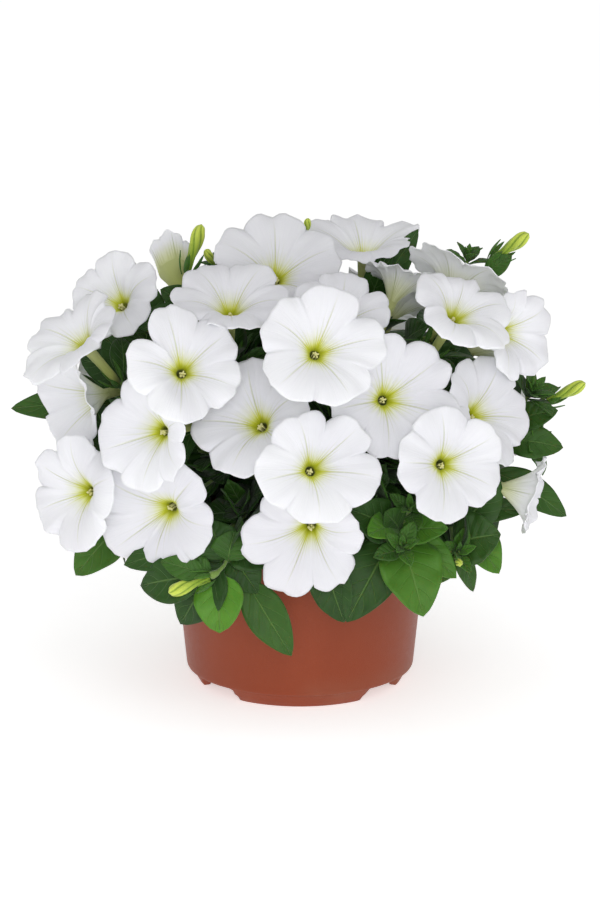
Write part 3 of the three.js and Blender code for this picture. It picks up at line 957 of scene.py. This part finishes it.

# %% [markdown]
# ## Leaves that show between the flowers
#
# More leaves hang under the lowest flowers in front and show beside the outer ones. Each is given
# by its foot, its tip, its width in millimetres and how bright its green is, from 0, the old green
# darkened as painted shade, to 1, the young green. Its foot is then moved onto the nearest stem.

# %% Leaves between the front flowers
FRONT_LEAVES = [
    ((-48, -72, 76), (-84, -74, 79), 20, 0.1),
    ((-48, -76, 80), (-76, -78, 70), 24, 0.08),
    ((-50, -80, 78), (-66, -84, 84), 12, 0.3),
    ((-42, -80, 78), (-54, -84, 86), 9, 0.25),
    ((-36, -76, 72), (-43, -80, 103), 22, 0.1),
    ((-28, -80, 74), (-31, -84, 99), 18, 0.25),
    ((-38, -76, 76), (-57, -82, 52), 26, 0.03),
    ((-30, -74, 86), (-42, -80, 72), 16, 0.12),
    ((-36, -74, 92), (-12, -82, 82), 20, 0.08),
    ((-30, -74, 84), (-20, -84, 68), 18, 0.06),
    ((-66, -20, 178), (-80, -28, 186), 16, 0.1),
    ((-70, -16, 160), (-84, -26, 170), 20, 0.12),
    ((-52, -4, 190), (-68, -10, 200), 14, 0.15),
    ((50, -78, 88), (70, -84, 100), 16, 0.6),
    ((70, -58, 84), (96, -66, 92), 26, 0.12),
    ((66, -68, 90), (64, -76, 70), 11, 0.35),
    ((88, -46, 98), (109, -52, 100), 14, 0.15),
    ((40, -76, 90), (24, -84, 109), 22, 0.1),
    ((76, -48, 76), (84, -52, 59), 10, 0.2),
    ((52, -74, 90), (40, -84, 108), 20, 0.2),
    ((54, -76, 88), (74, -86, 76), 18, 0.6),
    ((42, -82, 84), (22, -92, 56), 26, 0.06),
    ((102, -8, 138), (127, -8, 139), 14, 0.2),
    ((100, -8, 124), (130, -8, 120), 18, 0.25),
    ((98, 5, 196), (104, 5, 214), 10, 0.3),
    ((46, 8, 192), (58, 6, 227), 15, 0.1),
    ((44, 10, 200), (44, 4, 219), 14, 0.1),
    ((-86, -10, 156), (-96, -6, 176), 24, 0.12),
    ((-86, -8, 158), (-108, -4, 164), 20, 0.06),
    ((-84, 0, 162), (-75, 8, 183), 18, 0.1),
    ((-66, -4, 182), (-74, 0, 202), 16, 0.1),
    ((-84, -6, 150), (-102, -4, 155), 18, 0.15),
]
for i, (foot, tip, width, youth_and_light) in enumerate(FRONT_LEAVES, 1):
    foot = nearest_stem(Vector(foot) * MM)
    tip = Vector(tip) * MM
    sheet = leaf_sheet()
    upward = Vector((tip.x * 3, -1, 0.5)).normalized()
    add_leaf(sheet, foot, tip, width * MM, upward, youth_and_light=youth_and_light, rows=18, columns=10)
    finish_leaves(f"front_leaf_{i:02d}", sheet)
print(len(FRONT_LEAVES), "more leaves in front")

# %% [markdown]
# ## Leaves inside the dome
#
# Behind and between the flowers the plant is full of leaves. They are strewn evenly over domes
# a little smaller than that of the flowers, each growing from the nearest stem. A leaf is left
# out if it would stand in front of a flower, seen along the flower's own axis or from the
# camera, because a flower always finds its way to the light.

# %% Strew leaves through the plant
DOME_CENTRE = Vector((0, 0, 100)) * MM
DOME_SIZE = Vector((100, 92, 96)) * MM
TRIES = 1100
INNER_ROWS = 6
INNER_COLUMNS = 4
GOLDEN_ANGLE = 2.39996
SIGHT = 3.0
CLEARANCE = 2 * MM
CLEAR_IN_FRONT = 30 * MM
CLEAR_BESIDE_TUBE = 4 * MM
POT_ZONE_TOP = 93 * MM
POT_ZONE_RADIUS = 70 * MM
LOWEST_TIP = 60 * MM
SHORTEST = 16 * MM
LONGEST = 48 * MM


def tree_of(shape, meshes):
    """One tree of a bmesh and some meshes, for rays to hit. The bmesh is used up."""
    for mesh in meshes:
        shape.from_mesh(mesh)
    tree = BVHTree.FromBMesh(shape)
    shape.free()
    return tree


FLOWER_SOLIDS = [frame["nodes"][node].data for node in FLOWERS]
SHOWN_FLOWERS = tree_of(bmesh.new(), FLOWER_SOLIDS[:LAST_FRONT_FLOWER])


def hides_a_flower(place):
    ray = place - CAMERA_PLACE
    hit = SHOWN_FLOWERS.ray_cast(CAMERA_PLACE, ray.normalized(), SIGHT)
    if hit[0] and hit[3] > ray.length - CLEARANCE:
        return True
    for flower in FLOWERS.values():
        local = place - flower["throat"]
        height = local.dot(flower["axis"])
        away = (local - flower["axis"] * height).length
        share = min(away / flower["radius"], 1)
        limb = (-1 + LIMB_RISE * (1 - (1 - share) ** 2.5)) * MM
        if away < flower["radius"] + MM and limb - 1.5 * MM < height < CLEAR_IN_FRONT:
            return True
        if away < CLEAR_BESIDE_TUBE and -TUBE_LENGTH - 2 * MM < height < 0:
            return True
    return False


def inside_the_pot(place):
    return place.z < POT_ZONE_TOP and math.hypot(place.x, place.y) < POT_ZONE_RADIUS


def grow_leaf(sheet, foot, tip, upward, luck, youth_and_light):
    """Adds one leaf to the sheet, unless it would hide a flower or lie in the pot."""
    length = (tip - foot).length
    width = length * luck.uniform(0.52, 0.7)
    sideways = (tip - foot).normalized().cross(upward).normalized() * width * 0.45
    half_way = foot.lerp(tip, 0.55)
    rim = (tip, half_way, half_way + sideways, half_way - sideways)
    if tip.z < LOWEST_TIP or inside_the_pot(tip) or any(hides_a_flower(place) for place in rim):
        return False
    add_leaf(
        sheet, foot, tip, width, upward, youth_and_light=youth_and_light, arch=luck.uniform(0.04, 0.14),
        fold=luck.uniform(0.05, 0.25), roundness=luck.uniform(0.3, 1),
        rows=INNER_ROWS, columns=INNER_COLUMNS,
    )
    return True


def strewn_leaves(sheet):
    luck = random.Random(11)
    count = 0
    for i in range(TRIES):
        height = 1 - 1.35 * (i + 0.5) / TRIES
        angle = i * GOLDEN_ANGLE
        flat = math.sqrt(1 - min(abs(height), 1) ** 2)
        outward = Vector((flat * math.cos(angle), flat * math.sin(angle), height))
        depth = luck.uniform(0.55, 1.0)
        tip = DOME_CENTRE + Vector(a * b * depth for a, b in zip(outward, DOME_SIZE))
        foot = nearest_stem(tip - outward * luck.uniform(14, 26) * MM + UP * luck.uniform(-8, 4) * MM)
        if not SHORTEST < (tip - foot).length < LONGEST:
            continue
        upward = (outward + UP * 0.5).normalized()
        # The deeper a leaf lies in the dome, the darker its green: painted shade.
        youth_and_light = luck.uniform(0, 0.4) * max(depth - 0.5, 0) * 2
        count += grow_leaf(sheet, foot, tip, upward, luck, youth_and_light)
    return count


inner_leaves = leaf_sheet()
print(strewn_leaves(inner_leaves), "leaves strewn through the dome")

# %% [markdown]
# ## Closing the gaps
#
# A petunia in full leaf lets no light through. So the plant is looked at from many sides, along
# a grid of rays. Wherever a ray would go right through the dome between the flowers and leaves
# that are there already, one more leaf grows across it, facing that side.

# %% Grow a leaf across every gap
RAY_STEP = 8 * MM
RAYS_EACH_WAY = 13
GAP_DOME = Vector((102, 92, 98)) * MM
LOWEST_LEAF = 72 * MM
SKIRT_TOP = 92 * MM
SKIRT_RADIUS = 88 * MM
TRIES_EACH_GAP = 6
VIEW_DISTANCE = 1.5
MARCH = 6 * MM
MARCH_STEPS = 44
MARCH_FROM = 0.13


def way_through(eye, ahead):
    """Where a ray enters and leaves the dome, as distances from the eye."""
    near = (DOME_CENTRE - eye).dot(ahead) - MARCH_FROM
    inside = []
    for i in range(MARCH_STEPS):
        place = eye + ahead * (near + i * MARCH) - DOME_CENTRE
        if sum(abs(part / size) ** 3 for part, size in zip(place, GAP_DOME)) < 1:
            inside.append(near + i * MARCH)
    return (inside[0], inside[-1]) if len(inside) > 2 else None


def close_gaps(sheet, eye, luck):
    """Grows leaves across the gaps that show from one side, and counts them."""
    leaves = [leaf.data for leaf in bpy.data.objects if leaf.name.startswith(("blade_", "front_leaf_"))]
    tree = tree_of(sheet.copy(), FLOWER_SOLIDS + leaves)
    straight = (DOME_CENTRE - eye).normalized()
    right = straight.cross(UP).normalized()
    above = right.cross(straight)
    count = 0
    filled = set()
    for i in range(-RAYS_EACH_WAY, RAYS_EACH_WAY + 1):
        for j in range(-RAYS_EACH_WAY, RAYS_EACH_WAY + 1):
            target = DOME_CENTRE + (right * i + above * j) * RAY_STEP
            ahead = (target - eye).normalized()
            span = way_through(eye, ahead)
            if not span or (i - 1, j) in filled or (i, j - 1) in filled:
                continue
            hit = tree.ray_cast(eye, ahead, span[1])
            if hit[0]:
                continue
            for _ in range(TRIES_EACH_GAP):
                middle = eye + ahead * (span[0] + (span[1] - span[0]) * luck.uniform(0.08, 0.6))
                foot = nearest_stem(middle - UP * luck.uniform(0, 10) * MM)
                away = middle - foot
                hangs_out = middle.z < SKIRT_TOP and math.hypot(middle.x, middle.y) > SKIRT_RADIUS
                if middle.z < LOWEST_LEAF or hangs_out or not 2 * MM < away.length < 40 * MM:
                    continue
                tip = foot + away.normalized() * min(max(away.length * 1.7, 26 * MM), 46 * MM)
                upward = (UP * 0.4 - ahead).normalized()
                # A leaf across a gap gets one of the darkest greens, as painted shade deep in the plant.
                if grow_leaf(sheet, foot, tip, upward, luck, luck.uniform(0, 0.15)):
                    filled.add((i, j))
                    count += 1
                    break
    return count


def grow_across_gaps(sheet):
    luck = random.Random(23)
    eyes = [CAMERA_PLACE, CAMERA_PLACE]
    for elevation, azimuths in ((15, range(0, 360, 45)), (50, range(0, 360, 90))):
        for azimuth in azimuths:
            turn = math.radians(azimuth)
            flat = math.cos(math.radians(elevation))
            eye = Vector((math.sin(turn) * flat, -math.cos(turn) * flat, math.sin(math.radians(elevation))))
            eyes.append(DOME_CENTRE + eye * VIEW_DISTANCE)
    return [close_gaps(sheet, eye, luck) for eye in eyes]


print("leaves across the gaps, side by side:", grow_across_gaps(inner_leaves))
finish_leaves("inner_leaves", inner_leaves)

# %% [markdown]
# ## Shoot tips
#
# A stem ends in a rosette of small pointed leaves round its growing point. The ones that show
# stand on short twigs of their own, which grow from the nearest stem.

# %% Rosettes at the shoot tips
SHOOTS = [
    {"tip": (48, -92, 93), "toward": (0.1, -1, 0.7), "leaves": 9, "length": 13},
    {"tip": (75, -70, 84), "toward": (0.4, -1, 0.5), "leaves": 9, "length": 13},
    {"tip": (83, 16, 211), "toward": (0.2, -0.1, 1), "leaves": 10, "length": 12},
    {"tip": (114, 0, 146), "toward": (0.6, -0.4, 0.9), "leaves": 12, "length": 16},
    {"tip": (115, 0, 121), "toward": (0.7, -0.6, 0.5), "leaves": 12, "length": 16},
    {"tip": (-36, 4, 209), "toward": (0.1, 0, 1), "leaves": 9, "length": 12},
    {"tip": (52, -78, 108), "toward": (0, -0.8, 0.9), "leaves": 7, "length": 12},
    {"tip": (0, 6, 214), "toward": (0.1, 0, 1), "leaves": 7, "length": 12},
    {"tip": (0, 84, 150), "toward": (0, 1, 0.6), "leaves": 9, "length": 13},
    {"tip": (-59, 59, 150), "toward": (-0.7, 0.7, 0.6), "leaves": 9, "length": 13},
    {"tip": (-20, 108, 92), "toward": (-0.2, 1, 0.1), "leaves": 9, "length": 15},
    {"tip": (70, 86, 92), "toward": (0.6, 0.8, 0.1), "leaves": 9, "length": 15},
]
TWIG_RADIUS = 0.9 * MM
TWIG_REACH = 20


def add_tube(shape, places, radius, sides=7):
    """Adds a closed tube along some places."""
    circle = bmesh.ops.create_circle(shape, cap_ends=True, segments=sides, radius=radius)["verts"]
    faces = {face for vert in circle for face in vert.link_faces}
    direction = (places[1] - places[0]).normalized()
    turn = UP.rotation_difference(direction).to_matrix().to_4x4()
    bmesh.ops.transform(shape, matrix=Matrix.Translation(places[0]) @ turn, verts=circle)
    for last, place, following in zip(places, places[1:], places[2:] + [2 * places[-1] - places[-2]]):
        grown = bmesh.ops.extrude_face_region(shape, geom=list(faces))["geom"]
        ring = [item for item in grown if isinstance(item, bmesh.types.BMVert)]
        bmesh.ops.translate(shape, vec=place - last, verts=ring)
        heading = (following - place).normalized()
        bend = direction.rotation_difference(heading).to_matrix().to_4x4()
        bmesh.ops.rotate(shape, cent=place, matrix=bend.to_3x3(), verts=ring)
        direction = heading
        old = faces
        faces = {item for item in grown if isinstance(item, bmesh.types.BMFace)}
        if place is not places[1]:
            bmesh.ops.delete(shape, geom=[face for face in old if face.is_valid], context="FACES_ONLY")


def rosette(shoot, number):
    luck = random.Random(700 + number)
    tip = Vector(shoot["tip"]) * MM
    axis = Vector(shoot["toward"]).normalized()
    right, ahead = square_to(axis)
    sheet = leaf_sheet()
    for i in range(shoot["leaves"]):
        age = i / (shoot["leaves"] - 1)
        angle = GOLDEN_ANGLE * i
        open_out = 0.25 + 0.95 * age
        outward = right * math.cos(angle) + ahead * math.sin(angle)
        direction = (axis * math.cos(open_out) + outward * math.sin(open_out)).normalized()
        length = shoot["length"] * (0.5 + 0.75 * age) * MM
        foot = tip - axis * 4 * age * MM
        add_leaf(
            sheet, foot, foot + direction * length, length * (0.26 + 0.3 * age),
            (axis - direction * 0.3).normalized(), youth_and_light=luck.uniform(0.5, 0.75) - 0.3 * age,
            arch=0.05, fold=0.35, roundness=0.3, rows=8, columns=4,
        )
    finish_leaves(f"rosette_{number:02d}", sheet)
    root = nearest_stem(tip - axis * TWIG_REACH * MM)
    middle = root.lerp(tip, 0.5) + (tip - axis * 6 * MM - root.lerp(tip, 0.5)) * 0.3
    twig = bmesh.new()
    places = [root.lerp(middle, t).lerp(middle.lerp(tip, t), t) for t in (0, 0.2, 0.4, 0.6, 0.8, 1)]
    add_tube(twig, places, TWIG_RADIUS)
    bmesh.ops.recalc_face_normals(twig, faces=twig.faces)
    add_piece(f"twig_{number:02d}", twig, [STEM])


for number, shoot in enumerate(SHOOTS, 1):
    rosette(shoot, number)
print(len(SHOOTS), "shoot tips")

# %% [markdown]
# ## Sepals
#
# Five narrow hairy sepals stand round the foot of every flower and bud. They are narrow leaves
# that start on the calyx cup and spread a little.

# %% Sepals
SEPALS = 5
SEPAL_WIDTH = 2.6 * MM
CUP_DEPTH = 2.5
CUP_RADIUS = 1.8


def sepals(name, foot, axis, length, spread, number):
    luck = random.Random(900 + number)
    right, ahead = square_to(axis)
    sheet = leaf_sheet()
    for i in range(SEPALS):
        angle = 2 * math.pi * (i + luck.uniform(-0.12, 0.12)) / SEPALS
        outward = right * math.cos(angle) + ahead * math.sin(angle)
        start = foot - axis * CUP_DEPTH * MM + outward * CUP_RADIUS * MM
        reach = length * luck.uniform(0.85, 1.15)
        end = start + axis * reach * math.cos(spread) + outward * reach * math.sin(spread)
        add_leaf(
            sheet, start, end, SEPAL_WIDTH, -outward, youth_and_light=0.55, arch=-0.08, fold=0.3,
            roundness=0.1, rows=8, columns=4,
        )
    finish_leaves(name, sheet)


for number, (node, place) in enumerate(FLOWERS.items(), 1):
    foot = place["throat"] - place["axis"] * TUBE_LENGTH
    sepals(node.replace("flower", "sepals"), foot, place["axis"], 11 * MM, 0.42, number)

# %% [markdown]
# ## Buds
#
# A closed bud is the folded limb: a club with five soft pleats that twist toward its tip. It
# starts as a unit tube, as the corolla does, and is closed at both ends by merging the end rings.

# %% Pleated buds
BUD_ROWS = 18
BUD_COLUMNS = 30
BUD_TIP_MERGE = 1e-5
PLEATS = 5
PLEAT_TWIST = 2.2
PLEAT_DEPTH = 0.34


def bud_radius(along):
    body = 0.55 + 0.45 * smooth(min(max((along - 0.2) / 0.5, 0), 1))
    return body * math.sqrt(max(1 - max(along - 0.72, 0) ** 2 / 0.0785, 0))


def bud(node, foot, tip):
    axis = (tip - foot).normalized()
    length = (tip - foot).length
    points = points_of(node)
    along = (points - np.array(foot)) @ np.array(axis)
    widest = float(np.linalg.norm(points - np.array(foot) - np.outer(along, axis), axis=1).max())
    right = axis.cross(Vector((0, 1, 0))).normalized()
    ahead = axis.cross(right)
    shape = drum(BUD_ROWS + 1, BUD_COLUMNS)
    reach_layer, beside_layer = numbers(shape, "reach", "beside")
    for vert in shape.verts:
        share = vert.co.z / BUD_ROWS
        angle = math.atan2(vert.co.x, vert.co.y)
        pleat = abs(math.sin(PLEATS / 2 * (angle + PLEAT_TWIST * share)))
        radius = 0.92 * widest * bud_radius(share) * (1 - PLEAT_DEPTH * (1 - pleat) ** 1.5)
        vert.co = foot + axis * share * length + (right * math.cos(angle) + ahead * math.sin(angle)) * radius
        vert[reach_layer] = share
        vert[beside_layer] = 1 - pleat
    bmesh.ops.remove_doubles(shape, verts=shape.verts, dist=BUD_TIP_MERGE)
    bmesh.ops.holes_fill(shape, edges=[edge for edge in shape.edges if edge.is_boundary], sides=0)
    bmesh.ops.recalc_face_normals(shape, faces=shape.faces)
    return shape


for number, node in enumerate(sorted(name for name in frame["nodes"] if name.startswith("bud_")), 1):
    foot, tip = ends_of(node)
    size = (tip - foot).length
    add_piece(f"pleated_{node}", bud(node, foot, tip), [BUD], replaces=node)
    sepals(f"bud_sepals_{number}", foot, (tip - foot).normalized(), size * 0.55, 0.35, 50 + number)
print("buds done")

# %% [markdown]
# ## Floor and light
#
# The plant stands on a plain white floor in even studio light. The floor glows a little, so
# that it stays white behind the petals. A large soft light from above the camera gives the petals
# their slight shading, one beside the camera lifts the shadows between them, a small one from
# the left puts a sheen on the pot, and the sky fills in the rest.

# %% Stage
FLOOR_SIZE = 12.0
FLOOR_GLOW = 0.52
SKY = 0.51


def floor():
    shape = bmesh.new()
    bmesh.ops.create_grid(shape, x_segments=1, y_segments=1, size=FLOOR_SIZE / 2)
    mesh = bpy.data.meshes.new("floor")
    shape.to_mesh(mesh)
    shape.free()
    finish = Finish("floor", Roughness=0.9, Specular_IOR_Level=0.0, Emission_Strength=FLOOR_GLOW)
    finish.shader.inputs["Emission Color"].default_value = (1, 1, 1, 1)
    cloud = finish.noise(finish.place(), 3.0, 2.0)
    skin = finish.mix(cloud, colour(250, 250, 250), colour(252, 252, 252))
    mesh.materials.append(finish.feed(Base_Color=skin))
    made = bpy.data.objects.new("floor", mesh)
    bpy.context.scene.collection.objects.link(made)


def soft_light(name, place, target, size, power):
    light = bpy.data.lights.new(name, "AREA")
    light.shape = "DISK"
    light.size = size
    light.energy = power
    made = bpy.data.objects.new(name, light)
    made.location = place
    made.rotation_euler = (Vector(target) - Vector(place)).to_track_quat("-Z", "Y").to_euler()
    bpy.context.scene.collection.objects.link(made)


floor()
soft_light("key", (0.35, -1.5, 1.2), (0, 0, 0.14), 1.1, 4.5)
soft_light("fill", (0, -1.55, 0.5), (0, 0, 0.12), 0.6, 5.3)
soft_light("side", (-1.8, -0.8, 0.4), (0, 0, 0.05), 0.35, 1.2)
world = bpy.data.worlds.new("studio")
world.use_nodes = True
world.node_tree.nodes["Background"].inputs["Color"].default_value = (1, 1, 1, 1)
world.node_tree.nodes["Background"].inputs["Strength"].default_value = SKY
bpy.context.scene.world = world
bpy.context.scene.view_settings.view_transform = "Standard"
print("stage set")
